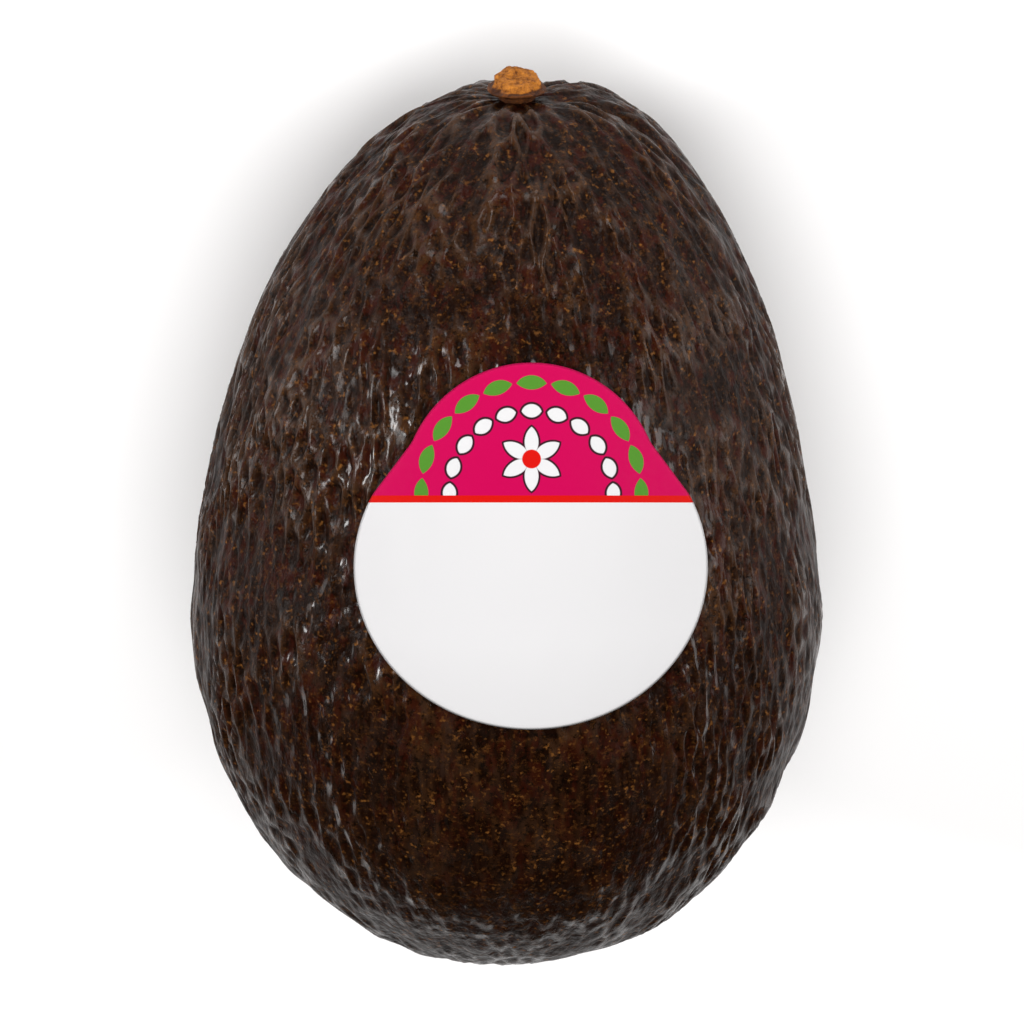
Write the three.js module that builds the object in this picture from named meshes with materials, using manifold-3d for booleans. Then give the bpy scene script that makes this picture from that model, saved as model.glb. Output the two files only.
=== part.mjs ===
// A ripe avocado lying on its side, with its stem button and a paper price sticker.
// Millimetres, +Z up, stem end towards +Y. The origin is the middle of the flat spot the fruit lies on.
import * as THREE from "three";
import { mergeVertices } from "three/addons/utils/BufferGeometryUtils.js";
import Module from "manifold-3d";

const wasm = await Module();
wasm.setup();

// Driving dimensions of the fruit. Its outline is a superellipse, wider towards the blossom end.
const LENGTH = 103.6; // stem end to blossom end
const MIDDLE_WIDTH = 70.2; // across, halfway along
const TAPER = 0.28; // how much wider it would be at the blossom end, and narrower at the stem
const STEM_BLUNTNESS = 3.16; // power of the superellipse, where 2 is an ellipse
const BLOSSOM_BLUNTNESS = 1.755;
const FLATTENING = 0.02; // the fruit is a little less deep than it is wide
const STEM_LEAN = 1.2; // how far the stem end leans to the right
const LEAN_POWER = 1.3;
const DIMPLE_DEPTH = 1.8; // hollow that the stem button sits in
const DIMPLE_REACH = 0.17; // its reach from the stem, in radians of the outline
const SHOULDER_LOBES = 5; // soft lobes round the stem
const LOBE_HEIGHT = 0.2;
const LOBE_PHASE = 1.26; // which sets where the lobes stand round the stem
const LOBE_ANGLE = 0.34; // from the stem end, as all angles of the outline
const LOBE_REACH = 0.2;
const FULL_SHOULDER_TURN = 0.33; // the shoulder is fuller at the right and back
const FULL_SHOULDER_ANGLE = 0.5;
const FULL_SHOULDER_HEIGHT = 1.2;
const FULL_SHOULDER_ROUND = 0.8; // its reach round the fruit, in radians
const FULL_SHOULDER_ALONG = 0.35; // and along the outline
const SCAR_DEPTH = 0.4; // blossom scar at the far end
const SCAR_REACH = 0.05;
const CREASE_TURN = 0.245; // a crease runs from the dimple down the right shoulder
const CREASE_WIDTH = 0.9;
const CREASE_DEPTH = 0.7;
const CREASE_START = [0.08, 0.2]; // the angles it deepens over, and those it fades over
const CREASE_END = [0.55, 0.8];

// The net of ridges that the skin is covered with: pits between two families of slanting ridges
const COLUMNS = 168; // vertices round the fruit
const ROWS = 34; // steps from stem to blossom end
const PIT_COLUMNS = 3; // a pit is so many columns wide
const PIT_ROWS = 2; // and so many rows long
const PIT_DEPTH = 0.6;
const LUMP_HEIGHT = 0.3; // broad unevenness under the net
const RING_FULL = 24; // on rings narrower than this radius the pits grow wider, up to four times

// How it lies: the heavy end takes the weight and the stem end hangs low.
const STEM_DROP = THREE.MathUtils.degToRad(9.75);
const REST_HEIGHT = 33.5; // from the flat spot up to the middle of the fruit
const MIDDLE_AHEAD = 3.2; // from the flat spot to the middle of the fruit, along +Y
const SPOT_ANGLE = 1.49; // where the flat spot is, from the stem end
const SPOT_REACH = 11; // the net is squashed flat so far round it

// The stem button, a woody stub whose peg stands in a socket.
const SOCKET_RADIUS = 2.3;
const SOCKET_DEPTH = 1.9;
const PEG_CLEARANCE = 0.3;
const BUTTON_SEGMENTS = 32;
const BUTTON_BASE_RADIUS = 3.25;
const BUTTON_TOP_RADIUS = 2.4;
const BUTTON_HEIGHT = 2.3;
const FLARE_HEIGHT = 1.15; // the foot flares over the rim of the dimple's floor
const CUT_SLANT = THREE.MathUtils.degToRad(15); // the cut face leans to the front
const BARK_ROUGHNESS = 0.22;

// The sticker: a round label with a domed head, pressed on as seen square from the front.
const STICKER_FACING = THREE.MathUtils.degToRad(22); // turned from the front towards the stem
const STICKER_CENTRE = new THREE.Vector2(2.7, -4.6);
const STICKER_HALF_WIDTH = 19;
const STICKER_HALF_HEIGHT = 17.3;
const DOME_RADIUS = 13.8;
const DOME_RISE = 8.0; // from the middle of the round to the middle of the dome
const DOME_END = THREE.MathUtils.degToRad(67); // where the dome turns into the flank
const FLANK_END = THREE.MathUtils.degToRad(27); // where the flank meets the round
const STICKER_LIFT = 0.3;
const STICKER_THICKNESS = 0.3;
const STICKER_RINGS = 6;
const STICKER_EDGE_POINTS = 56;

const TURN = 2 * Math.PI;

// Seeded noise that repeats round the fruit
const lerp = THREE.MathUtils.lerp;
const ease = (t) => t * t * (3 - 2 * t);
const smooth = (low, high, x) => ease(THREE.MathUtils.clamp((x - low) / (high - low), 0, 1));
const bump = (x) => Math.exp(-(x ** 2)); // 1 in the middle, and nearly 0 from 2 on

function scatter(i, j, seed) {
  const x = Math.sin(i * 127.1 + j * 311.7 + seed * 74.7) * 43758.5453;
  return x - Math.floor(x);
}

function noise(x, y, period, seed) {
  const i = Math.floor(x);
  const j = Math.floor(y);
  const west = ((i % period) + period) % period;
  const east = (west + 1) % period;
  const across = ease(x - i);
  const near = lerp(scatter(west, j, seed), scatter(east, j, seed), across);
  const far = lerp(scatter(west, j + 1, seed), scatter(east, j + 1, seed), across);
  return 2 * lerp(near, far, ease(y - j)) - 1;
}

// Radius round the axis (x) and place along it (y) of the smooth fruit, at an angle from the stem end
function outline(angle) {
  const place = Math.cos(angle);
  const side = Math.sign(Math.sin(angle));
  const bluntness = place > 0 ? STEM_BLUNTNESS : BLOSSOM_BLUNTNESS;
  const round = side * Math.sqrt(1 - Math.abs(place) ** bluntness);
  return new THREE.Vector2((MIDDLE_WIDTH / 2) * round * (1 - TAPER * place), (LENGTH / 2) * place);
}

// How far the axis has leant to the right at a place along the fruit
const leanAt = (along) => STEM_LEAN * Math.max(0, (2 * along) / LENGTH) ** LEAN_POWER;

// A point of the skin in the fruit's own frame (x right, y to the stem, z to the front), raised outward
function skinPoint(turn, angle, raise) {
  const along = outline(angle - 0.001).sub(outline(angle + 0.001)).normalize();
  const place = outline(angle).add(new THREE.Vector2(along.y, -along.x).multiplyScalar(raise));
  const lean = leanAt(place.y);
  return new THREE.Vector3(
    place.x * Math.sin(turn * TURN) + lean,
    place.y,
    place.x * Math.cos(turn * TURN) * (1 - FLATTENING),
  );
}

// Height of the ridge net with pits of a given width: 1 on a full ridge, 0 in the middle of a pit
function net(column, row, wide) {
  const rising = 1 - Math.abs(Math.sin(Math.PI * (column / wide + row / PIT_ROWS)));
  const falling = 1 - Math.abs(Math.sin(Math.PI * (column / wide - row / PIT_ROWS)));
  const risingStrength = 0.75 + 0.3 * noise(column / 7, row / 3, COLUMNS / 7, 11);
  const fallingStrength = 0.75 + 0.3 * noise(column / 7, row / 3, COLUMNS / 7, 12);
  return Math.max(risingStrength * rising, fallingStrength * falling);
}

// Height of the net where each halving of the ring's radius has doubled the pits' width
function widenedNet(column, row, radius) {
  const level = THREE.MathUtils.clamp(Math.log2(RING_FULL / Math.max(radius, 1)), 0, 2);
  const wide = PIT_COLUMNS * 2 ** Math.floor(level);
  return lerp(net(column, row, wide), net(column, row, 2 * wide), ease(level % 1));
}

// Relief of the skin over the smooth fruit, in millimetres
function relief(column, row) {
  const turn = column / COLUMNS;
  const angle = (Math.PI * row) / ROWS;
  const { x: radius, y: along } = outline(angle);
  const lobes = Math.cos(SHOULDER_LOBES * TURN * turn + LOBE_PHASE) * bump((angle - LOBE_ANGLE) / LOBE_REACH);
  const roundFull = ((turn - FULL_SHOULDER_TURN) * TURN) / FULL_SHOULDER_ROUND;
  const fromFull = Math.hypot(roundFull, (angle - FULL_SHOULDER_ANGLE) / FULL_SHOULDER_ALONG);
  const full = FULL_SHOULDER_HEIGHT * bump(fromFull);
  const dimple = bump(angle / DIMPLE_REACH);
  const scar = bump((Math.PI - angle) / SCAR_REACH);
  const fromCrease = ((turn - CREASE_TURN) * TURN * radius) / CREASE_WIDTH;
  const crease = bump(fromCrease) * smooth(...CREASE_START, angle) * (1 - smooth(...CREASE_END, angle));
  const fromSpot = Math.hypot((turn - 0.5) * TURN * radius, along - outline(SPOT_ANGLE).y) / SPOT_REACH;
  const free = 1 - Math.exp(-(fromSpot ** 4));
  const uneven = 0.85 + 0.3 * noise(column / 21, row / 5, COLUMNS / 21, 13);
  const depth = PIT_DEPTH * uneven * smooth(1, 9, radius);
  const sunk = (1 - noise(column / 12, row / 3, COLUMNS / 12, 14)) / 2;
  const lump = -LUMP_HEIGHT * sunk * smooth(3, 16, radius);
  const pits = depth * (1 - widenedNet(column, row, radius));
  const hollows = DIMPLE_DEPTH * dimple + CREASE_DEPTH * crease + SCAR_DEPTH * scar;
  return (LOBE_HEIGHT * lobes + full) * (1 - dimple) - hollows + free * (lump - pits);
}

// The weight presses a flat spot: nothing reaches below the surface it lies on
const DOWN = new THREE.Vector3(0, Math.sin(STEM_DROP), -Math.cos(STEM_DROP));
function press(point) {
  const below = point.dot(DOWN) - REST_HEIGHT;
  if (below > 0) point.addScaledVector(DOWN, -below);
  return point;
}

// Where a vertex of the net lies, after the net is pulled about so that no two pits are alike
function netPoint(column, row) {
  const radius = outline((Math.PI * row) / ROWS).x;
  const broadDrift = 2 * noise(column / 14, row / 7, COLUMNS / 14, 1);
  const fineDrift = 0.5 * noise(column / PIT_COLUMNS, row / PIT_ROWS, COLUMNS / PIT_COLUMNS, 2);
  const broadSlide = 0.7 * noise(column / 14, row / 7, COLUMNS / 14, 3);
  const fineSlide = 0.22 * noise(column / PIT_COLUMNS, row / PIT_ROWS, COLUMNS / PIT_COLUMNS, 4);
  const turn = (column + smooth(3, 16, radius) * (broadDrift + fineDrift)) / COLUMNS;
  const angle = (Math.PI * (row + smooth(4, 26, radius) * (broadSlide + fineSlide))) / ROWS;
  return press(skinPoint(turn, angle, relief(column, row)));
}

// A closed surface of rings between two end points, each ring anticlockwise as seen from the start.
// The diagonal of each cell joins its two higher corners, so that ridges run on unbroken.
function closedRings(start, rings, end, height = () => 0) {
  const count = rings[0].length;
  const positions = [start, ...rings.flat(), end].flatMap((p) => p.toArray());
  const last = 1 + rings.length * count;
  const at = (ring, k) => 1 + ring * count + (k % count);
  const index = [];
  for (let k = 0; k < count; k++) {
    index.push(0, at(0, k), at(0, k + 1));
    index.push(last, at(rings.length - 1, k + 1), at(rings.length - 1, k));
  }
  for (let ring = 0; ring + 1 < rings.length; ring++)
    for (let k = 0; k < count; k++) {
      const [a, b] = [at(ring, k), at(ring, k + 1)];
      const [c, d] = [at(ring + 1, k), at(ring + 1, k + 1)];
      const falling = height(ring, k) + height(ring + 1, k + 1);
      const rising = height(ring, k + 1) + height(ring + 1, k);
      if (falling > rising) index.push(a, d, b, a, c, d);
      else index.push(a, c, b, b, c, d);
    }
  const geometry = new THREE.BufferGeometry();
  geometry.setAttribute("position", new THREE.Float32BufferAttribute(positions, 3));
  geometry.setIndex(index);
  return geometry;
}

function solidOf(geometry) {
  const plain = geometry.clone();
  plain.deleteAttribute("normal");
  plain.deleteAttribute("uv");
  const merged = mergeVertices(plain);
  return new wasm.Manifold(
    new wasm.Mesh({
      numProp: 3,
      vertProperties: merged.attributes.position.array,
      triVerts: new Uint32Array(merged.index.array),
    }),
  );
}

function geometryOf(solid) {
  const mesh = solid.getMesh();
  const geometry = new THREE.BufferGeometry();
  geometry.setAttribute("position", new THREE.BufferAttribute(mesh.vertProperties, 3));
  geometry.setIndex(new THREE.BufferAttribute(mesh.triVerts, 1));
  return geometry;
}

const stemFoot = skinPoint(0, 0, -DIMPLE_DEPTH); // bottom of the dimple, on the axis

// The fruit: skin net from stem to blossom end, with the socket for the stem cut into the dimple
function fruitGeometry() {
  const rings = [];
  for (let row = 1; row < ROWS; row++)
    rings.push(Array.from({ length: COLUMNS }, (_, column) => netPoint(column, row)));
  const stemEnd = skinPoint(0, 0, relief(0, 0));
  const blossomEnd = skinPoint(0, Math.PI, relief(0, ROWS));
  const skin = closedRings(stemEnd, rings, blossomEnd, (ring, k) => relief(k, ring + 1));
  const socket = new THREE.CylinderGeometry(SOCKET_RADIUS, SOCKET_RADIUS, 2 * SOCKET_DEPTH, BUTTON_SEGMENTS);
  socket.translate(stemFoot.x, stemFoot.y, stemFoot.z);
  return geometryOf(solidOf(skin).subtract(solidOf(socket)));
}

// The stem button: a peg in the socket, a flared foot, rough bark and a slanting cut face
function buttonGeometry() {
  const pegRadius = SOCKET_RADIUS - PEG_CLEARANCE;
  const stations = [
    [BUTTON_TOP_RADIUS * 0.4, BUTTON_HEIGHT + 0.15],
    [BUTTON_TOP_RADIUS * 0.75, BUTTON_HEIGHT + 0.2],
    [BUTTON_TOP_RADIUS, BUTTON_HEIGHT],
    [BUTTON_TOP_RADIUS + 0.15, BUTTON_HEIGHT - 0.4],
    [BUTTON_TOP_RADIUS + 0.5, FLARE_HEIGHT + 0.35],
    [BUTTON_BASE_RADIUS, FLARE_HEIGHT],
    [BUTTON_BASE_RADIUS - 0.3, FLARE_HEIGHT - 0.3],
    [pegRadius, FLARE_HEIGHT - 0.4],
    [pegRadius, -SOCKET_DEPTH + 2 * PEG_CLEARANCE],
    [pegRadius - 0.3, -SOCKET_DEPTH + PEG_CLEARANCE],
  ];
  const rings = stations.map(([radius, height], ring) =>
    Array.from({ length: BUTTON_SEGMENTS }, (_, k) => {
      const bark = smooth(FLARE_HEIGHT - 0.3, FLARE_HEIGHT + 0.3, height);
      const rough = bark * BARK_ROUGHNESS * noise(k / 2, ring / 2, BUTTON_SEGMENTS / 2, 21);
      const r = radius + rough;
      const x = r * Math.sin((TURN * k) / BUTTON_SEGMENTS);
      const z = r * Math.cos((TURN * k) / BUTTON_SEGMENTS);
      const slant = Math.tan(CUT_SLANT) * smooth(FLARE_HEIGHT, BUTTON_HEIGHT, height);
      return new THREE.Vector3(x, height - slant * z + rough, z).add(stemFoot);
    }),
  );
  const foot = new THREE.Vector3(0, -SOCKET_DEPTH + PEG_CLEARANCE, 0).add(stemFoot);
  const top = new THREE.Vector3(0, BUTTON_HEIGHT + 0.1, 0).add(stemFoot);
  return closedRings(top, rings, foot);
}

// The sticker's outline, seen square on: a dome, two straight flanks and a round
function stickerOutline() {
  const [width, height] = [STICKER_HALF_WIDTH, STICKER_HALF_HEIGHT];
  const shape = new THREE.Shape();
  shape.moveTo(DOME_RADIUS * Math.sin(DOME_END), DOME_RISE + DOME_RADIUS * Math.cos(DOME_END));
  shape.absarc(0, DOME_RISE, DOME_RADIUS, Math.PI / 2 - DOME_END, Math.PI / 2 + DOME_END, false);
  shape.absellipse(0, 0, width, height, Math.PI - FLANK_END, TURN + FLANK_END, false, 0);
  shape.closePath();
  return shape.getSpacedPoints(STICKER_EDGE_POINTS).slice(0, -1);
}

// Where the straight line through a place on the sticker's face meets the smooth skin, raised by lift
function stickerPoint(place, lift) {
  const facing = new THREE.Vector3(0, Math.sin(STICKER_FACING), Math.cos(STICKER_FACING));
  const upward = new THREE.Vector3(0, Math.cos(STICKER_FACING), -Math.sin(STICKER_FACING));
  const { x: across, y: up } = place.clone().add(STICKER_CENTRE);
  const base = new THREE.Vector3(across, 0, 0).addScaledVector(upward, up);
  let [near, far] = [0, 60];
  const point = new THREE.Vector3();
  for (let step = 0; step < 40; step++) {
    const middle = (near + far) / 2;
    point.copy(base).addScaledVector(facing, middle);
    const round = Math.hypot(point.x - leanAt(point.y), point.z / (1 - FLATTENING));
    const angle = Math.acos(THREE.MathUtils.clamp((2 * point.y) / LENGTH, -1, 1));
    const outside = round > outline(angle).x + lift;
    if (outside) far = middle;
    else near = middle;
  }
  return point;
}

// The sticker: paper that follows the fruit, from its middle out to its edge and back underneath
function stickerGeometry() {
  const edge = stickerOutline();
  const ring = (share, lift) => edge.map((p) => stickerPoint(p.clone().multiplyScalar(share), lift));
  const shares = Array.from({ length: STICKER_RINGS }, (_, k) => (k + 1) / STICKER_RINGS);
  const over = shares.map((share) => ring(share, STICKER_LIFT + STICKER_THICKNESS));
  const under = shares.map((share) => ring(share, STICKER_LIFT)).reverse();
  const middle = new THREE.Vector2();
  return closedRings(
    stickerPoint(middle, STICKER_LIFT + STICKER_THICKNESS),
    [...over, ...under],
    stickerPoint(middle, STICKER_LIFT),
  );
}

function part(name, geometry, color, roughness) {
  geometry.computeVertexNormals();
  const mesh = new THREE.Mesh(geometry, new THREE.MeshStandardMaterial({ color, roughness, metalness: 0 }));
  mesh.name = name;
  return mesh;
}

const lying = new THREE.Group();
lying.rotation.x = -STEM_DROP;
lying.position.set(0, MIDDLE_AHEAD, REST_HEIGHT);
lying.add(part("fruit", fruitGeometry(), 0x2e211c, 0.45));
lying.add(part("stem_button", buttonGeometry(), 0x9a5d22, 0.85));
lying.add(part("sticker", stickerGeometry(), 0xefeeef, 0.5));

const avocado = new THREE.Group();
avocado.add(lying);
export default avocado;
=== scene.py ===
# A ripe avocado lying on its side, with its stem button and a paper price sticker.
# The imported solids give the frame, and each piece below stands in for one of them in finer detail.
import math

import bmesh
import bpy
import numpy as np
from mathutils import Matrix, Vector


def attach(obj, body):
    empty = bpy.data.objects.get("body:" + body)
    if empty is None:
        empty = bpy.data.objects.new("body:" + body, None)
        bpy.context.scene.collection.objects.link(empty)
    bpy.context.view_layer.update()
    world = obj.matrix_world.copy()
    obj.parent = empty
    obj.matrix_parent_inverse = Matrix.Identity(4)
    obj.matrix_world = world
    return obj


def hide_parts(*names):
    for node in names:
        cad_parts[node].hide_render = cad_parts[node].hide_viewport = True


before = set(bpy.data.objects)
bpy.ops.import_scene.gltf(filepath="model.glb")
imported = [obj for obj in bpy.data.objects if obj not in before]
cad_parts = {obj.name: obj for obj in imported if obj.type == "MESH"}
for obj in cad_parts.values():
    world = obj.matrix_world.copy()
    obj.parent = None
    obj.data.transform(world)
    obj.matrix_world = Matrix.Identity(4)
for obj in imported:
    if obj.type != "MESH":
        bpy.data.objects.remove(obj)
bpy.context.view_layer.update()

# The fruit: one grown piece with a waxy skin, dark brown when ripe, under a net of ridges. It lies
# on the flat spot that its weight has pressed, with the stem end a little lower. Sizes are in
# millimetres, in the fruit's own frame: x right, y to the stem, z to the front.
MM = 0.001
TURN = 2 * math.pi
LENGTH = 103.6
MIDDLE_WIDTH = 70.2
TAPER = 0.28
STEM_BLUNTNESS = 3.16
BLOSSOM_BLUNTNESS = 1.755
FLATTENING = 0.02
STEM_LEAN = 1.2
LEAN_POWER = 1.3
DIMPLE_DEPTH = 1.8
DIMPLE_REACH = 0.17
SHOULDER_LOBES = 5
LOBE_HEIGHT = 0.2
LOBE_PHASE = 1.26
LOBE_ANGLE = 0.34
LOBE_REACH = 0.2
FULL_SHOULDER_TURN = 0.33
FULL_SHOULDER_ANGLE = 0.5
FULL_SHOULDER_HEIGHT = 1.2
FULL_SHOULDER_ROUND = 0.8
FULL_SHOULDER_ALONG = 0.35
SCAR_DEPTH = 0.4
SCAR_REACH = 0.035
SCAR_TIP = 0.012
SCAR_TIP_SHARE = 0.6  # of the scar's depth that its middle rises again
CREASE_TURN = 0.245
CREASE_WIDTH = 0.9
CREASE_DEPTH = 0.7
CREASE_START = (0.08, 0.2)
CREASE_END = (0.55, 0.8)
LUMP_HEIGHT = 0.3
STEM_DROP = math.radians(9.75)
REST_HEIGHT = 33.5
MIDDLE_AHEAD = 3.2
SPOT_ANGLE = 1.49
SPOT_REACH = 11.0
COLUMNS = 168  # steps round the fruit that the broad unevenness is measured in
ROWS = 34  # and steps from stem to blossom end
PIT_WIDTH = 2.5
PIT_LENGTH = 6.5
PIT_DEPTH = 0.95
PIT_SHIFT_ROUND = 0.75  # how far a pit may be out of its place in the net, as a share of its space
PIT_SHIFT_ALONG = 0.8
PULL_TURN = 0.005  # how far the broad unevenness bends the net, round the fruit and along it
PULL_ANGLE = 0.03
RIDGE_WIDTH = 0.38
VEIN_SHARE = 0.15  # height of the fine veins inside the pits, as a share of a ridge's
SWELL_HEIGHT = 0.35  # of the rises and sags along the ridges
POLE_RADII = (0.6, 7)  # the pits grow to their full depth between these radii round the axis
CREST_RADII = (0.6, 5)  # the ridges' paler tone, a painted sheen, to its full strength between these
BROAD_RADII = (3, 16)  # the broad unevenness to its full height between these
SLIDE_RADII = (4, 26)  # and the drift of the net along the fruit to its full length between these
BLOSSOM_FADE = (-20, -46)  # towards the blossom end the pits lose a part of their depth
BLOSSOM_SHARE = 0.3
PLAIN_FADE = (0, -22)  # low on the front the skin is plainer, with level wrinkles
PLAIN_ANGLE = 0.75
PLAIN_SHARE = 0.55
WRINKLE_HEIGHT = 0.1
HANDLED_FRONT = (0.6, 0.85)  # handling has polished what stands this far forward, as a share
MESH_ROUND = 720
MESH_ALONG = 138


def ease(t):
    t = np.clip(t, 0, 1)
    return t * t * (3 - 2 * t)


def smooth(low, high, x):
    return ease((np.asarray(x, float) - low) / (high - low))


def scatter(i, j, seed):
    return np.modf(np.modf(np.sin(i * 127.1 + j * 311.7 + seed * 74.7) * 43758.5453)[0] + 1)[0]


def bump(x):
    return np.exp(-(x**2))


def noise(x, y, period, seed):
    i, j = np.floor(x), np.floor(y)
    west, east = i % period, (i + 1) % period
    across, up = ease(x - i), ease(y - j)
    near = scatter(west, j, seed) * (1 - across) + scatter(east, j, seed) * across
    far = scatter(west, j + 1, seed) * (1 - across) + scatter(east, j + 1, seed) * across
    return 2 * (near * (1 - up) + far * up) - 1


def outline(angle):
    """Radius round the axis and place along it of the smooth fruit, at an angle from the stem end."""
    place = np.cos(angle)
    bluntness = np.where(place > 0, STEM_BLUNTNESS, BLOSSOM_BLUNTNESS)
    rounding = np.sign(np.sin(angle)) * np.sqrt(np.maximum(0, 1 - np.abs(place) ** bluntness))
    return MIDDLE_WIDTH / 2 * rounding * (1 - TAPER * place), LENGTH / 2 * place


def lean_at(along):
    return STEM_LEAN * np.maximum(0, 2 * along / LENGTH) ** LEAN_POWER


def skin_point(turn, angle, lift):
    """Points of the skin at a share of a turn from the front and an angle from the stem end."""
    step = 0.001
    (r0, y0), (r1, y1) = outline(angle - step), outline(angle + step)
    run = np.hypot(r0 - r1, y0 - y1)
    radius, along = outline(angle)
    radius = radius + (y0 - y1) / run * lift
    along = along - (r0 - r1) / run * lift
    across = radius * np.sin(turn * TURN) + lean_at(along)
    return np.stack([across, along, radius * np.cos(turn * TURN) * (1 - FLATTENING)], -1)


# The skin's net is made of long pits in staggered rows, each a little out of its place. The rows
# are spaced by lengths of arc from the stem end along the smooth fruit.
arc_angles = np.linspace(0, math.pi, 2001)
arc_radius, arc_along = outline(arc_angles)
arc_lengths = np.concatenate([[0], np.cumsum(np.hypot(np.diff(arc_radius), np.diff(arc_along)))])


def net(turn, angle, width, length, seed):
    """Height of the net: 1 on the ridges between pits, falling to 0 inside a pit."""
    arc = np.interp(angle, arc_angles, arc_lengths)
    radius = outline(angle)[0]
    step = length / 2
    nearest = np.full(turn.shape, 9.0)
    second = np.full(turn.shape, 9.0)
    for down in range(-3, 4):
        row = np.floor(arc / step) + down
        row_radius = np.interp((row + 0.5) * step, arc_lengths, arc_radius)
        count = np.maximum(5, np.round(TURN * row_radius / width))
        first = np.floor(turn * count)
        for over in (-1, 0, 1):
            cell = first + over
            shift = PIT_SHIFT_ROUND * (scatter(cell % count, row, seed) - 0.5)
            middle = cell + 0.5 + 0.5 * (row % 2) + shift
            across = (turn * count - middle) / count * TURN * radius / width
            shift = PIT_SHIFT_ALONG * (scatter(cell % count, row, seed + 1) - 0.5)
            ahead = (arc - (row + 0.5 + shift) * step) / length
            far = np.hypot(across, ahead)
            second = np.where(far < nearest, nearest, np.minimum(second, far))
            nearest = np.minimum(nearest, far)
    from_ridge = (second - nearest) * width / 2
    return bump(from_ridge / RIDGE_WIDTH)


def relief(column, row):
    """Height of the skin over the smooth fruit in millimetres, and how much of a ridge it is there."""
    turn, angle = column / COLUMNS, math.pi * row / ROWS
    radius, along = outline(angle)
    lobes = np.cos(SHOULDER_LOBES * TURN * turn + LOBE_PHASE) * bump((angle - LOBE_ANGLE) / LOBE_REACH)
    round_full = (turn - FULL_SHOULDER_TURN) * TURN / FULL_SHOULDER_ROUND
    from_full = np.hypot(round_full, (angle - FULL_SHOULDER_ANGLE) / FULL_SHOULDER_ALONG)
    dimple = bump(angle / DIMPLE_REACH)
    shoulder = (LOBE_HEIGHT * lobes + FULL_SHOULDER_HEIGHT * bump(from_full)) * (1 - dimple)
    to_scar = math.pi - angle
    scar = bump(to_scar / SCAR_REACH) - SCAR_TIP_SHARE * bump(to_scar / SCAR_TIP)
    from_crease = (turn - CREASE_TURN) * TURN * radius / CREASE_WIDTH
    crease = bump(from_crease) * smooth(*CREASE_START, angle) * (1 - smooth(*CREASE_END, angle))
    hollows = DIMPLE_DEPTH * dimple + CREASE_DEPTH * crease + SCAR_DEPTH * scar
    spot_along = outline(np.array(SPOT_ANGLE))[1]
    from_spot = np.hypot((turn - 0.5) * TURN * radius, along - spot_along) / SPOT_REACH
    free = 1 - np.exp(-(from_spot**4))
    pull_turn = PULL_TURN * noise(column / 6, row / 2, COLUMNS / 6, 31)
    pull_angle = PULL_ANGLE * noise(column / 6, row / 2, COLUMNS / 6, 32)
    ridge = net(turn + pull_turn, angle + pull_angle, PIT_WIDTH, PIT_LENGTH, 41)
    vein = net(turn + pull_turn, angle - pull_angle, PIT_WIDTH * 0.6, PIT_LENGTH * 0.5, 51)
    strong = 0.75 + 0.5 * noise(column / 4, row / 1.5, COLUMNS / 4, 33)
    height = np.clip(strong * ridge + VEIN_SHARE * vein * (1 - ridge), 0, 1)
    uneven = 0.85 + 0.3 * noise(column / 21, row / 5, COLUMNS / 21, 13)
    from_front = (turn - np.round(turn)) * TURN
    plain = bump(from_front / PLAIN_ANGLE) * smooth(*PLAIN_FADE, along)
    wrinkles = WRINKLE_HEIGHT * plain * noise(column / 8, row * 2.2, COLUMNS / 8, 71)
    kept = (1 - BLOSSOM_SHARE * smooth(*BLOSSOM_FADE, along)) * (1 - PLAIN_SHARE * plain)
    depth = PIT_DEPTH * uneven * smooth(*POLE_RADII, radius) * kept
    broad = smooth(*BROAD_RADII, radius)
    lump = -LUMP_HEIGHT * broad * (1 - noise(column / 12, row / 3, COLUMNS / 12, 14)) / 2
    swell = -SWELL_HEIGHT * broad * (1 - noise(column / 3, row / 1.2, COLUMNS / 3, 15)) / 2
    lift = shoulder - hollows + free * (lump + swell + wrinkles - depth * (1 - height))
    return lift, height * free * smooth(*CREST_RADII, radius)


def lie_down(points):
    """Points of the fruit's own frame where they are in the object, in metres."""
    x, y, z = points[..., 0], points[..., 1], points[..., 2]
    sin, cos = math.sin(STEM_DROP), math.cos(STEM_DROP)
    return np.stack([x, y * cos + z * sin + MIDDLE_AHEAD, z * cos - y * sin + REST_HEIGHT], -1) * MM


def press(points):
    """The flat spot: nothing reaches below the surface that the fruit lies on."""
    down = np.array([0, math.sin(STEM_DROP), -math.cos(STEM_DROP)])
    below = np.maximum(0, points @ down - REST_HEIGHT)
    return points - below[..., None] * down


def skin(column, row):
    """The skin's points and ridge heights, after the broad unevenness has pulled them about."""
    radius = outline(math.pi * row / ROWS)[0]
    drift = 2 * noise(column / 14, row / 7, COLUMNS / 14, 1)
    slide = 0.7 * noise(column / 14, row / 7, COLUMNS / 14, 3)
    turn = (column + smooth(*BROAD_RADII, radius) * drift) / COLUMNS
    angle = math.pi * (row + smooth(*SLIDE_RADII, radius) * slide) / ROWS
    lift, height = relief(column, row)
    return press(skin_point(turn, angle, lift)), height


def coordinates(mesh):
    flat = np.empty(len(mesh.vertices) * 3)
    mesh.vertices.foreach_get("co", flat)
    return flat.reshape(-1, 3)


def make(shape, name):
    """A mesh object from a bmesh, shaded smooth."""
    mesh = bpy.data.meshes.new(name)
    shape.to_mesh(mesh)
    shape.free()
    mesh.shade_smooth()
    piece = bpy.data.objects.new(name, mesh)
    bpy.context.scene.collection.objects.link(piece)
    return piece


def note(mesh, name, values):
    """Keeps a number for each vertex that a material can read."""
    mesh.attributes.new(name, "FLOAT", "POINT").data.foreach_set("value", np.asarray(values, np.float32))


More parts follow.
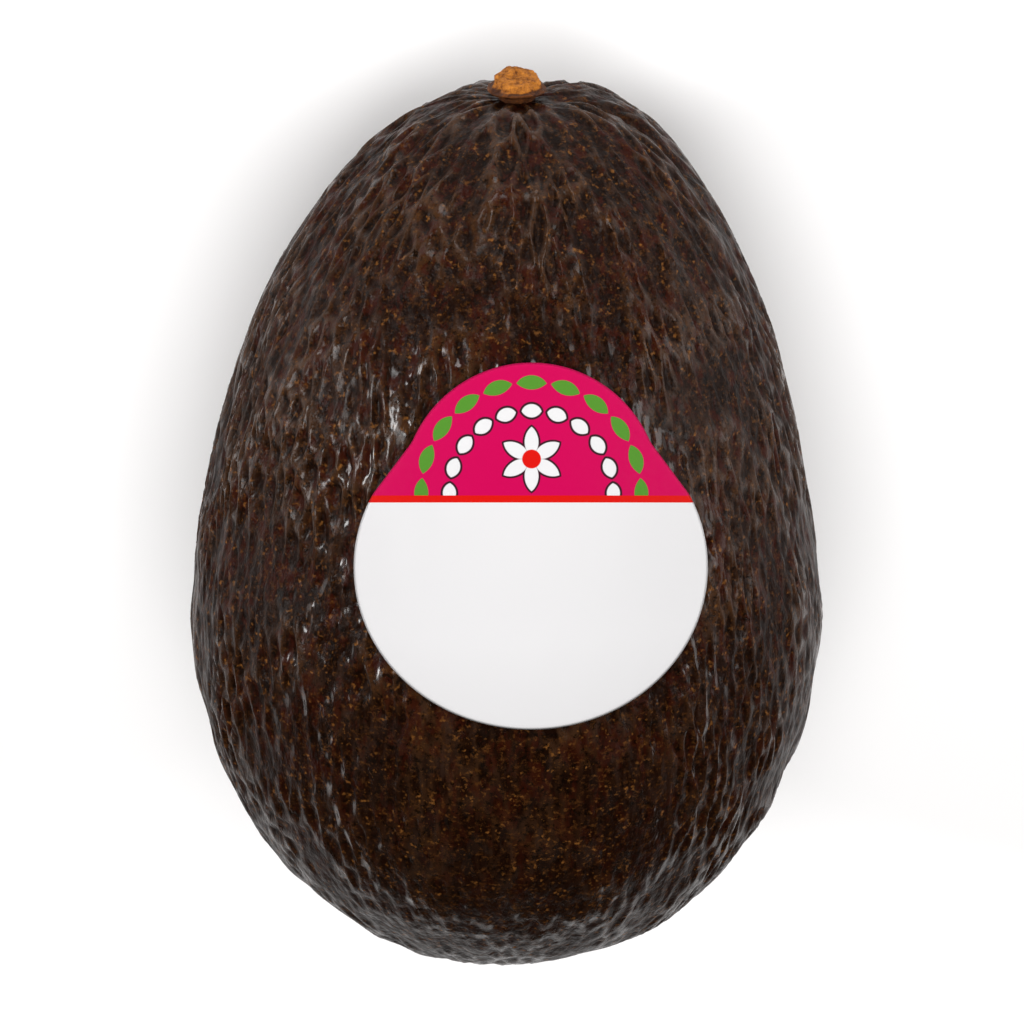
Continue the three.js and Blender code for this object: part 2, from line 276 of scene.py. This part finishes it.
def linear(hex_colour):
    shares = [int(hex_colour[k : k + 2], 16) / 255 for k in (1, 3, 5)]
    return (*[s / 12.92 if s <= 0.04045 else ((s + 0.055) / 1.055) ** 2.4 for s in shares], 1.0)


def add(material, kind, inputs=(), **settings):
    """Adds a node to a material. inputs gives a socket's value, or the socket that is linked to it."""
    tree = material.node_tree
    node = tree.nodes.new("ShaderNode" + kind)
    for name, value in settings.items():
        setattr(node, name, value)
    for socket, value in dict(inputs).items():
        if isinstance(value, bpy.types.NodeSocket):
            tree.links.new(value, node.inputs[socket])
        else:
            node.inputs[socket].default_value = value
    return node.outputs


def new_material(name):
    material = bpy.data.materials.new(name)
    material.use_nodes = True
    material.node_tree.nodes.clear()
    return material


shape = bmesh.new()
bmesh.ops.create_uvsphere(shape, u_segments=MESH_ROUND, v_segments=MESH_ALONG, radius=1)
fruit = make(shape, "fruit_skin")
unit = coordinates(fruit.data)
unit_angle = np.arccos(np.clip(unit[:, 2], -1, 1))
unit_turn = np.arctan2(unit[:, 0], -unit[:, 1]) / TURN % 1
skin_places, ridges = skin(unit_turn * COLUMNS, unit_angle / math.pi * ROWS)
fruit.data.vertices.foreach_set("co", lie_down(skin_places).ravel())
fruit.data.update()
note(fruit.data, "ridge", ridges)
note(fruit.data, "stem_side", skin_places[:, 1] / LENGTH + 0.5)
note(fruit.data, "handled", smooth(*HANDLED_FRONT, skin_places[:, 2] / MIDDLE_WIDTH * 2))

# Ripe avocado skin: a leathery rind with a thin natural wax. Nearly black in the pits, with a red
# cast, freckled with orange-brown corky pores. The ridges, and grey streaks towards the stem end,
# are painted paler as a sheen.
# The coat is the wax polished by handling: glossy spots on the front, and a little on the ridges.
rind = new_material("waxy_rind")
coords = add(rind, "TexCoord")["Object"]
even = add(rind, "Mapping", {"Vector": coords, "Scale": (1000, 1000, 1000)})[0]
tilted = {"Vector": coords, "Rotation": (STEM_DROP, 0, 0)}
in_line = add(rind, "Mapping", {**tilted, "Scale": (1000, 450, 1000)})[0]
drawn_out = add(rind, "Mapping", {**tilted, "Scale": (1000, 220, 1000)})[0]
ridge = add(rind, "Attribute", attribute_name="ridge")["Fac"]
crest = add(rind, "MapRange", {"Value": ridge, "From Min": 0.45, "From Max": 0.95})[0]
stem_side = add(rind, "Attribute", attribute_name="stem_side")["Fac"]
upper_part = {"Value": stem_side, "From Min": 0.15, "From Max": 0.5, "To Min": 0.2}
upper = add(rind, "MapRange", upper_part)[0]
everywhere = 1.0
# The ridges' paler tone, stronger towards the stem end, is a painted sheen.
ridge_sheen_share = add(rind, "Math", {0: crest, 1: upper}, operation="MULTIPLY")[0]
ground = add(rind, "Mix", {0: ridge_sheen_share, 6: linear("#120602"), 7: linear("#382314")}, data_type="RGBA")[2]
# Patches of the skin's own mottling; the second row, grey streaks towards the stem end, is a painted
# sheen.
for vector, per_mm, rough, least, most, where, share, tone in (
    (in_line, 0.13, 0.5, 0.42, 0.62, everywhere, 0.5, "#180803"),
    (drawn_out, 0.55, 0.65, 0.52, 0.66, upper, 0.5, "#38271e"),
    (in_line, 0.5, 0.7, 0.5, 0.6, upper, 0.7, "#2e0c04"),
    (even, 1.1, 0.8, 0.52, 0.62, everywhere, 0.9, "#080301"),
    (even, 1.4, 0.75, 0.54, 0.68, everywhere, 0.75, "#42260e"),
):
    patches = {"Vector": vector, "Scale": per_mm, "Detail": 4.0, "Roughness": rough}
    field = add(rind, "TexNoise", patches)[0]
    edges = {"Value": field, "From Min": least, "From Max": most, "To Max": share}
    field = add(rind, "MapRange", edges)[0]
    field = add(rind, "Math", {0: field, 1: where}, operation="MULTIPLY")[0]
    ground = add(rind, "Mix", {0: field, 6: ground, 7: linear(tone)}, data_type="RGBA")[2]
flecks = add(rind, "TexNoise", {"Vector": even, "Scale": 1.7, "Detail": 2.0})[0]
flecks = add(rind, "MapRange", {"Value": flecks, "From Min": 0.6, "From Max": 0.76})[0]
clusters = add(rind, "TexNoise", {"Vector": even, "Scale": 0.3, "Detail": 2.0})[0]
clusters = add(rind, "MapRange", {"Value": clusters, "From Min": 0.35, "From Max": 0.6})[0]
flecks = add(rind, "Math", {0: flecks, 1: clusters}, operation="MULTIPLY")[0]
ground = add(rind, "Mix", {0: flecks, 6: ground, 7: linear("#6c441d")}, data_type="RGBA")[2]
grain = {"Vector": in_line, "Scale": 1.3, "Detail": 3.0, "Roughness": 0.55}
grain = add(rind, "TexNoise", grain)[0]
gloss = {"Value": grain, "From Min": 0.35, "From Max": 0.65, "To Min": 0.3, "To Max": 0.48}
gloss = add(rind, "MapRange", gloss)[0]
gloss = add(rind, "Math", {0: crest, 1: -0.15, 2: gloss}, operation="MULTIPLY_ADD")[0]
pebbles = add(rind, "TexVoronoi", {"Vector": in_line, "Scale": 0.8}, feature="SMOOTH_F1")["Distance"]
domes = add(rind, "Math", {0: pebbles, 1: -1.0}, operation="MULTIPLY")[0]
domes = add(rind, "Bump", {"Height": domes, "Strength": 1.0, "Distance": 0.0004})[0]
relief_in_small = add(rind, "Math", {0: pebbles, 1: -0.7, 2: grain}, operation="MULTIPLY_ADD")[0]
bumps = add(rind, "Bump", {"Height": relief_in_small, "Strength": 0.8, "Distance": 0.0003})[0]
spots = {"Vector": in_line, "Scale": 0.6, "Detail": 2.0, "Roughness": 0.5}
polished = add(rind, "TexNoise", spots)[0]
polished = add(rind, "MapRange", {"Value": polished, "From Min": 0.52, "From Max": 0.58})[0]
handled = add(rind, "Attribute", attribute_name="handled")["Fac"]
polished = add(rind, "Math", {0: polished, 1: handled}, operation="MULTIPLY")[0]
worn = add(rind, "Math", {0: crest, 1: 0.17}, operation="MULTIPLY")[0]
polished = add(rind, "Math", {0: polished, 1: worn}, operation="MAXIMUM")[0]
wax = {"Roughness": gloss, "IOR": 1.33, "Specular IOR Level": 0.13, "Normal": bumps}
rubbed = {"Coat Weight": polished, "Coat Roughness": 0.16, "Coat IOR": 1.5, "Coat Normal": domes}
rind_shader = add(rind, "BsdfPrincipled", {"Base Color": ground, **wax, **rubbed})[0]
add(rind, "OutputMaterial", {"Surface": rind_shader})
fruit.data.materials.append(rind)
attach(fruit, "root")
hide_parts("fruit")

# The stem button: the woody stub that stays in the fruit, its foot flared over the dimple.
# Picking has left a slanting orange-brown cut face on top, and dark bark round its sides.
BUTTON_BASE_RADIUS = 3.25
BUTTON_TOP_RADIUS = 2.4
BUTTON_HEIGHT = 2.3
FLARE_HEIGHT = 1.15
CUT_SLANT = math.radians(15)
PEG_RADIUS = 2.0
PEG_BOTTOM = -1.6
BUTTON_ROUND = 120
BUTTON_RINGS = 96
BROKEN_STATIONS = (4.6, 3.6)  # the bare wood reaches down over the rim to between these stations
stations = np.array(
    [
        [0.0, BUTTON_HEIGHT + 0.1],
        [0.4 * BUTTON_TOP_RADIUS, BUTTON_HEIGHT + 0.15],
        [0.75 * BUTTON_TOP_RADIUS, BUTTON_HEIGHT + 0.2],
        [BUTTON_TOP_RADIUS, BUTTON_HEIGHT],
        [BUTTON_TOP_RADIUS + 0.15, BUTTON_HEIGHT - 0.4],
        [BUTTON_TOP_RADIUS + 0.5, FLARE_HEIGHT + 0.35],
        [BUTTON_BASE_RADIUS, FLARE_HEIGHT],
        [BUTTON_BASE_RADIUS - 0.3, FLARE_HEIGHT - 0.3],
        [PEG_RADIUS, FLARE_HEIGHT - 0.4],
        [PEG_RADIUS, PEG_BOTTOM + 0.3],
        [0.0, PEG_BOTTOM],
    ]
)
shape = bmesh.new()
bmesh.ops.create_uvsphere(shape, u_segments=BUTTON_ROUND, v_segments=BUTTON_RINGS, radius=1)
button = make(shape, "stem_button_bark")
unit = coordinates(button.data)
button_turn = np.arctan2(unit[:, 0], -unit[:, 1]) / TURN % 1
station = np.arccos(np.clip(unit[:, 2], -1, 1)) / math.pi * (len(stations) - 1)
button_radius = np.interp(station, range(len(stations)), stations[:, 0])
button_height = np.interp(station, range(len(stations)), stations[:, 1])
on_cut = smooth(BUTTON_TOP_RADIUS * 1.02, BUTTON_TOP_RADIUS * 0.9, button_radius) * (station < 3.5)
chipping = 0.5 * noise(button_turn * 22, station * 2, 22, 26)
broken = smooth(*BROKEN_STATIONS, station + chipping)
coarse = noise(button_turn * 14, station / 1.1, 14, 21)
fibres = noise(button_turn * 46, station / 2.2, 46, 22)
crumbs = noise(button_turn * 60, station * 3, 60, 23)
over_flare = smooth(FLARE_HEIGHT - 0.3, FLARE_HEIGHT + 0.3, button_height)
bark = (0.2 * coarse + 0.1 * fibres + 0.05 * crumbs) * over_flare
button_radius = button_radius + bark * smooth(0, 0.6 * BUTTON_TOP_RADIUS, button_radius)
button_x = button_radius * np.sin(button_turn * TURN)
button_z = button_radius * np.cos(button_turn * TURN)
grit = 0.16 * noise(button_x * 1.6 + 20, button_z * 1.6 + 20, 64, 24)
grit = grit + 0.08 * noise(button_x * 4 + 40, button_z * 4 + 40, 128, 25)
button_y = button_height + grit * on_cut + 0.3 * bark
button_y = button_y - math.tan(CUT_SLANT) * smooth(FLARE_HEIGHT, BUTTON_HEIGHT, button_height) * button_z
stem_foot = skin_point(np.array(0.0), np.array(0.0), -DIMPLE_DEPTH)
button_places = np.stack([button_x, button_y, button_z], -1) + stem_foot
button.data.vertices.foreach_set("co", lie_down(button_places).ravel())
button.data.update()
note(button.data, "cut", np.maximum(on_cut, broken))
note(button.data, "bark_height", bark * 2 + 0.5)

# Dry stem wood: matt, with orange-brown broken grain on the cut and dark brown cork round it.
wood = new_material("dry_stem_wood")
coords = add(wood, "TexCoord")["Object"]
place = add(wood, "Mapping", {"Vector": coords, "Scale": (1000, 1000, 1000)})[0]
cut = add(wood, "Attribute", attribute_name="cut")["Fac"]
raised = add(wood, "Attribute", attribute_name="bark_height")["Fac"]
grit = add(wood, "TexNoise", {"Vector": place, "Scale": 1.4, "Detail": 5.0, "Roughness": 0.7})[0]
grit_share = add(wood, "MapRange", {"Value": grit, "From Min": 0.35, "From Max": 0.65})[0]
cut_tones = {0: grit_share, 6: linear("#5a2b08"), 7: linear("#bd7628")}
cut_colour = add(wood, "Mix", cut_tones, data_type="RGBA")[2]
side_share = add(wood, "Math", {0: grit_share, 1: raised}, operation="MULTIPLY")[0]
bark_tones = {0: side_share, 6: linear("#2a1207"), 7: linear("#7a4418")}
bark_colour = add(wood, "Mix", bark_tones, data_type="RGBA")[2]
wood_colour = add(wood, "Mix", {0: cut, 6: bark_colour, 7: cut_colour}, data_type="RGBA")[2]
chips = add(wood, "Bump", {"Height": grit, "Strength": 0.8, "Distance": 0.0005})[0]
dry = {"Roughness": 0.75, "Specular IOR Level": 0.2, "Normal": chips}
wood_shader = add(wood, "BsdfPrincipled", {"Base Color": wood_colour, **dry})[0]
add(wood, "OutputMaterial", {"Surface": wood_shader})
button.data.materials.append(wood)
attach(button, "root")
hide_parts("stem_button")

# The sticker: a coated paper label, round with a domed head, pressed onto the skin by hand.
# It bridges the pits and only just shows the ridges it lies on.
STICKER_FACING = math.radians(22)
STICKER_CENTRE = (2.7, -4.6)
STICKER_HALF_WIDTH = 19.0
STICKER_HALF_HEIGHT = 17.3
DOME_RADIUS = 13.8
DOME_RISE = 8.0
DOME_END = math.radians(67)
FLANK_END = math.radians(27)
STICKER_LIFT = 0.12
STICKER_THICKNESS = 0.12
STICKER_ROUND = 256
STICKER_RINGS = 120
RIPPLE = 0.04
LABEL_SPAN = 40.0  # the label's own map is so many millimetres across
OUT_OF_FRUIT = 60.0  # a place well in front of the skin, where the search for it starts
HALVINGS = 40


def sticker_edge(count):
    """Points evenly spaced along the sticker's outline, from the top of its dome round to the right."""
    dome = np.linspace(0, DOME_END, 200)
    right = [(DOME_RADIUS * np.sin(dome), DOME_RISE + DOME_RADIUS * np.cos(dome))]
    low = np.linspace(FLANK_END, -math.pi / 2, 400)
    right.append((STICKER_HALF_WIDTH * np.cos(low), STICKER_HALF_HEIGHT * np.sin(low)))
    half = np.concatenate(right, axis=1).T
    full = np.concatenate([half, (half * (-1, 1))[-2::-1]])
    lengths = np.concatenate([[0], np.cumsum(np.hypot(*np.diff(full, axis=0).T))])
    places = np.linspace(0, lengths[-1], count, endpoint=False)
    return np.stack([np.interp(places, lengths, full[:, k]) for k in (0, 1)], -1)


def on_skin(places, lift):
    """Where lines through places on the sticker's face meet the smooth skin, raised by lift."""
    sin, cos = math.sin(STICKER_FACING), math.cos(STICKER_FACING)
    across = places[:, 0] + STICKER_CENTRE[0]
    upward = places[:, 1] + STICKER_CENTRE[1]
    near, far = np.zeros(len(places)), np.full(len(places), OUT_OF_FRUIT)
    for _ in range(HALVINGS):
        middle = (near + far) / 2
        y, z = upward * cos + middle * sin, middle * cos - upward * sin
        angle = np.arccos(np.clip(2 * y / LENGTH, -1, 1))
        outside = np.hypot(across - lean_at(y), z / (1 - FLATTENING)) > outline(angle)[0] + lift
        near, far = np.where(outside, near, middle), np.where(outside, middle, far)
    return np.stack([across, y, z], -1)


shape = bmesh.new()
bmesh.ops.create_uvsphere(shape, u_segments=STICKER_ROUND, v_segments=STICKER_RINGS, radius=1)
sticker = make(shape, "price_sticker")
unit = coordinates(sticker.data)
edge = sticker_edge(STICKER_ROUND)
unit_turn = np.arctan2(unit[:, 0], -unit[:, 1]) / TURN % 1
from_top = np.arccos(np.clip(unit[:, 2], -1, 1)) / math.pi
out = 1 - np.abs(1 - 2 * from_top)
spoke = np.round(unit_turn * STICKER_ROUND).astype(int) % STICKER_ROUND
label_places = edge[spoke] * out[:, None]
top_side = np.clip(1 - from_top * 2, -1, 1)
face = np.sign(np.round(top_side, 6))
paper_lift = STICKER_LIFT + STICKER_THICKNESS * (0.5 + 0.5 * face)
ripple = RIPPLE * noise(label_places[:, 0] / 3 + 16, label_places[:, 1] / 6 + 16, 64, 61)
sticker_places = on_skin(label_places, paper_lift + ripple)
sticker.data.vertices.foreach_set("co", lie_down(sticker_places).ravel())
sticker.data.update()
label_map = sticker.data.uv_layers.new(name="label")
corners = np.empty(len(sticker.data.loops), np.int32)
sticker.data.loops.foreach_get("vertex_index", corners)
label_map.data.foreach_set("uv", (label_places[corners] / LABEL_SPAN + 0.5).ravel())

# Label paper with a matt varnish, printed in flat colours: a magenta head where an arch of green
# leaves and one of white leaves curve over a flower, a thin red rule, and a blank price panel.
RULE_LOW = 7.0
RULE_HIGH = 7.75
LEAVES_IN_TURN = 20
GREEN_ARCH = 11.7
WHITE_ARCH = 8.7
FLOWER_PLACE = (0.0, 11.6)
PETALS = 6
PETAL_PLACE = 1.9  # from the flower's middle to the middle of a petal
EYE_RADIUS = 1.0
PRINT_BLUR = 0.04  # the soft edge of the inks to each side
paper = new_material("coated_label_paper")
label = add(paper, "UVMap", uv_map="label")[0]
label = add(paper, "VectorMath", {0: label, 1: (0.5, 0.5, 0)}, operation="SUBTRACT")[0]
label = add(paper, "VectorMath", {0: label, 3: LABEL_SPAN}, operation="SCALE")[0]


def polar(middle, repeats):
    """Distance from a place on the label, and the bearing round it, folded into so many equal parts."""
    away = add(paper, "VectorMath", {0: label, 1: (*middle, 0)}, operation="SUBTRACT")[0]
    distance = add(paper, "VectorMath", {0: away}, operation="LENGTH")[1]
    x, y, _ = add(paper, "SeparateXYZ", {0: away})
    bearing = add(paper, "Math", {0: x, 1: y}, operation="ARCTAN2")[0]
    half = math.pi / repeats
    return distance, add(paper, "Math", {0: bearing, 1: half, 2: -half}, operation="WRAP")[0]


def leaf(along, across, half_length, half_width):
    """A pointed leaf about the zero of two coordinates, where two rounds overlap."""
    radius = (half_length**2 + half_width**2) / (2 * half_width)
    side = add(paper, "Math", {0: across}, operation="ABSOLUTE")[0]
    side = add(paper, "Math", {0: side, 1: radius - half_width}, operation="ADD")[0]
    place = add(paper, "CombineXYZ", {0: along, 1: side})[0]
    away = add(paper, "VectorMath", {0: place}, operation="LENGTH")[1]
    edge_limits = {"Value": away, "From Min": radius + PRINT_BLUR, "From Max": radius - PRINT_BLUR}
    return add(paper, "MapRange", edge_limits)[0]


height = add(paper, "SeparateXYZ", {0: label})[1]
rule_middle = (RULE_LOW + RULE_HIGH) / 2
above = add(paper, "Math", {0: height, 1: rule_middle}, operation="GREATER_THAN")[0]
rule_limits = {0: height, 1: rule_middle, 2: (RULE_HIGH - RULE_LOW) / 2}
in_rule = add(paper, "Math", rule_limits, operation="COMPARE")[0]
panel_and_head = {0: above, 6: linear("#c5c4c5"), 7: linear("#af0047")}
inks = add(paper, "Mix", panel_and_head, data_type="RGBA")[2]
printed_over = []
dome_distance, dome_bearing = polar((0, DOME_RISE), LEAVES_IN_TURN)
for arch, half_length, half_width, colour in (
    (GREEN_ARCH, 1.6, 0.75, "#477b26"),
    (WHITE_ARCH, 1.3, 0.95, "#30101c"),
    (WHITE_ARCH, 1.05, 0.7, "#c7c6c7"),
):
    along = add(paper, "Math", {0: dome_bearing, 1: arch}, operation="MULTIPLY")[0]
    across = add(paper, "Math", {0: dome_distance, 1: arch}, operation="SUBTRACT")[0]
    stencil = leaf(along, across, half_length, half_width)
    stencil = add(paper, "Math", {0: stencil, 1: above}, operation="MULTIPLY")[0]
    printed_over.append((stencil, colour))
flower_distance, petal_bearing = polar(FLOWER_PLACE, PETALS)
for half_length, half_width, colour in ((1.75, 1.0, "#30101c"), (1.5, 0.75, "#c7c6c7")):
    along = add(paper, "Math", {0: flower_distance, 1: PETAL_PLACE}, operation="SUBTRACT")[0]
    across = add(paper, "Math", {0: flower_distance, 1: petal_bearing}, operation="MULTIPLY")[0]
    printed_over.append((leaf(along, across, half_length, half_width), colour))
eye = {"From Min": EYE_RADIUS + PRINT_BLUR, "From Max": EYE_RADIUS - PRINT_BLUR}
eye = add(paper, "MapRange", {"Value": flower_distance, **eye})[0]
printed_over += [(eye, "#bb0f08"), (in_rule, "#bb0f08")]
for stencil, colour in printed_over:
    inks = add(paper, "Mix", {0: stencil, 6: inks, 7: linear(colour)}, data_type="RGBA")[2]
fibre = add(paper, "TexNoise", {"Vector": label, "Scale": 1.5, "Detail": 4.0})[0]
varnish = {"Value": fibre, "From Min": 0.3, "From Max": 0.7, "To Min": 0.6, "To Max": 0.7}
varnish = add(paper, "MapRange", varnish)[0]
bumps = add(paper, "Bump", {"Height": fibre, "Strength": 0.08, "Distance": 0.0001})[0]
printed = {"Base Color": inks, "Roughness": varnish, "IOR": 1.2, "Normal": bumps}
paper_shader = add(paper, "BsdfPrincipled", printed)[0]
add(paper, "OutputMaterial", {"Surface": paper_shader})
sticker.data.materials.append(paper)
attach(sticker, "root")
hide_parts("sticker")

# The studio: a pale table top that runs out of sight, a soft box overhead, one to each side, one
# beyond the stem end and a dim room. The camera looks down on the fruit, square to the sticker,
# with the stem end at the top of its picture.
FLOOR_HALF = 2.5
shape = bmesh.new()
bmesh.ops.create_grid(shape, x_segments=2, y_segments=2, size=FLOOR_HALF)
floor = make(shape, "table_top")
table = new_material("pale_table")
matt = add(table, "BsdfPrincipled", {"Base Color": linear("#fbfafa"), "Roughness": 0.9})[0]
add(table, "OutputMaterial", {"Surface": matt})
floor.data.materials.append(table)

PICTURE = 1024  # pixels along each side of the picture
PIXEL = 0.11242  # millimetres of the fruit's middle plane in one pixel
DISTANCE = 600.0
SENSOR = 36.0
FRUIT_PIXEL = (506.4, 524.4)  # where the fruit's middle falls in the picture
looking = STICKER_FACING + STEM_DROP
toward = Vector((0, math.sin(looking), math.cos(looking)))
upward = Vector((0, math.cos(looking), -math.sin(looking)))
right = upward.cross(toward)
middle = Vector((0, MIDDLE_AHEAD, REST_HEIGHT))
target = middle + right * (PICTURE / 2 - FRUIT_PIXEL[0]) * PIXEL
target = target + upward * (FRUIT_PIXEL[1] - PICTURE / 2) * PIXEL
camera = bpy.data.objects.new("camera", bpy.data.cameras.new("camera"))
camera.data.sensor_width = SENSOR
camera.data.lens = SENSOR * DISTANCE / (PICTURE * PIXEL)
camera.data.clip_start = 0.05
camera.matrix_world = Matrix.Translation((target + toward * DISTANCE) * MM) @ Matrix(
    (right, upward, toward)
).transposed().to_4x4()
bpy.context.scene.collection.objects.link(camera)
bpy.context.scene.camera = camera


def soft_box(name, away, distance, size, power, mirrored=True):
    """A square soft box in a direction from the fruit, turned to face it. One that isn't mirrored
    leaves no shine on glossy surfaces, as a polarised lamp does."""
    light = bpy.data.lights.new(name, "AREA")
    light.size = size
    light.energy = power
    lamp = bpy.data.objects.new(name, light)
    lamp.location = middle * MM + away * distance
    lamp.rotation_euler = away.to_track_quat("Z", "Y").to_euler()
    lamp.visible_glossy = mirrored
    bpy.context.scene.collection.objects.link(lamp)


KEY_LEAN = math.radians(14)  # of the overhead box, from upright towards the camera
SIDE_ANGLE = math.radians(58)  # between the camera and each side box, seen from the fruit
BACK_ANGLE = math.radians(40)  # and between the camera and the box beyond the stem end
overhead = Vector((0, math.sin(KEY_LEAN), math.cos(KEY_LEAN)))
sideways = right * math.sin(SIDE_ANGLE)
soft_box("overhead_box", overhead, 1.2, 0.7, 11.5, mirrored=False)
soft_box("back_box", toward * math.cos(BACK_ANGLE) + upward * math.sin(BACK_ANGLE), 0.9, 0.3, 3.0)
soft_box("left_box", toward * math.cos(SIDE_ANGLE) - sideways, 0.8, 0.22, 3.4)
soft_box("right_box", toward * math.cos(SIDE_ANGLE) + sideways, 0.8, 0.45, 3.6)
world = bpy.data.worlds.new("dim_room")
world.use_nodes = True
world.node_tree.nodes["Background"].inputs["Color"].default_value = linear("#fff2e4")
world.node_tree.nodes["Background"].inputs["Strength"].default_value = 0.05
bpy.context.scene.world = world
bpy.context.scene.view_settings.view_transform = "Standard"
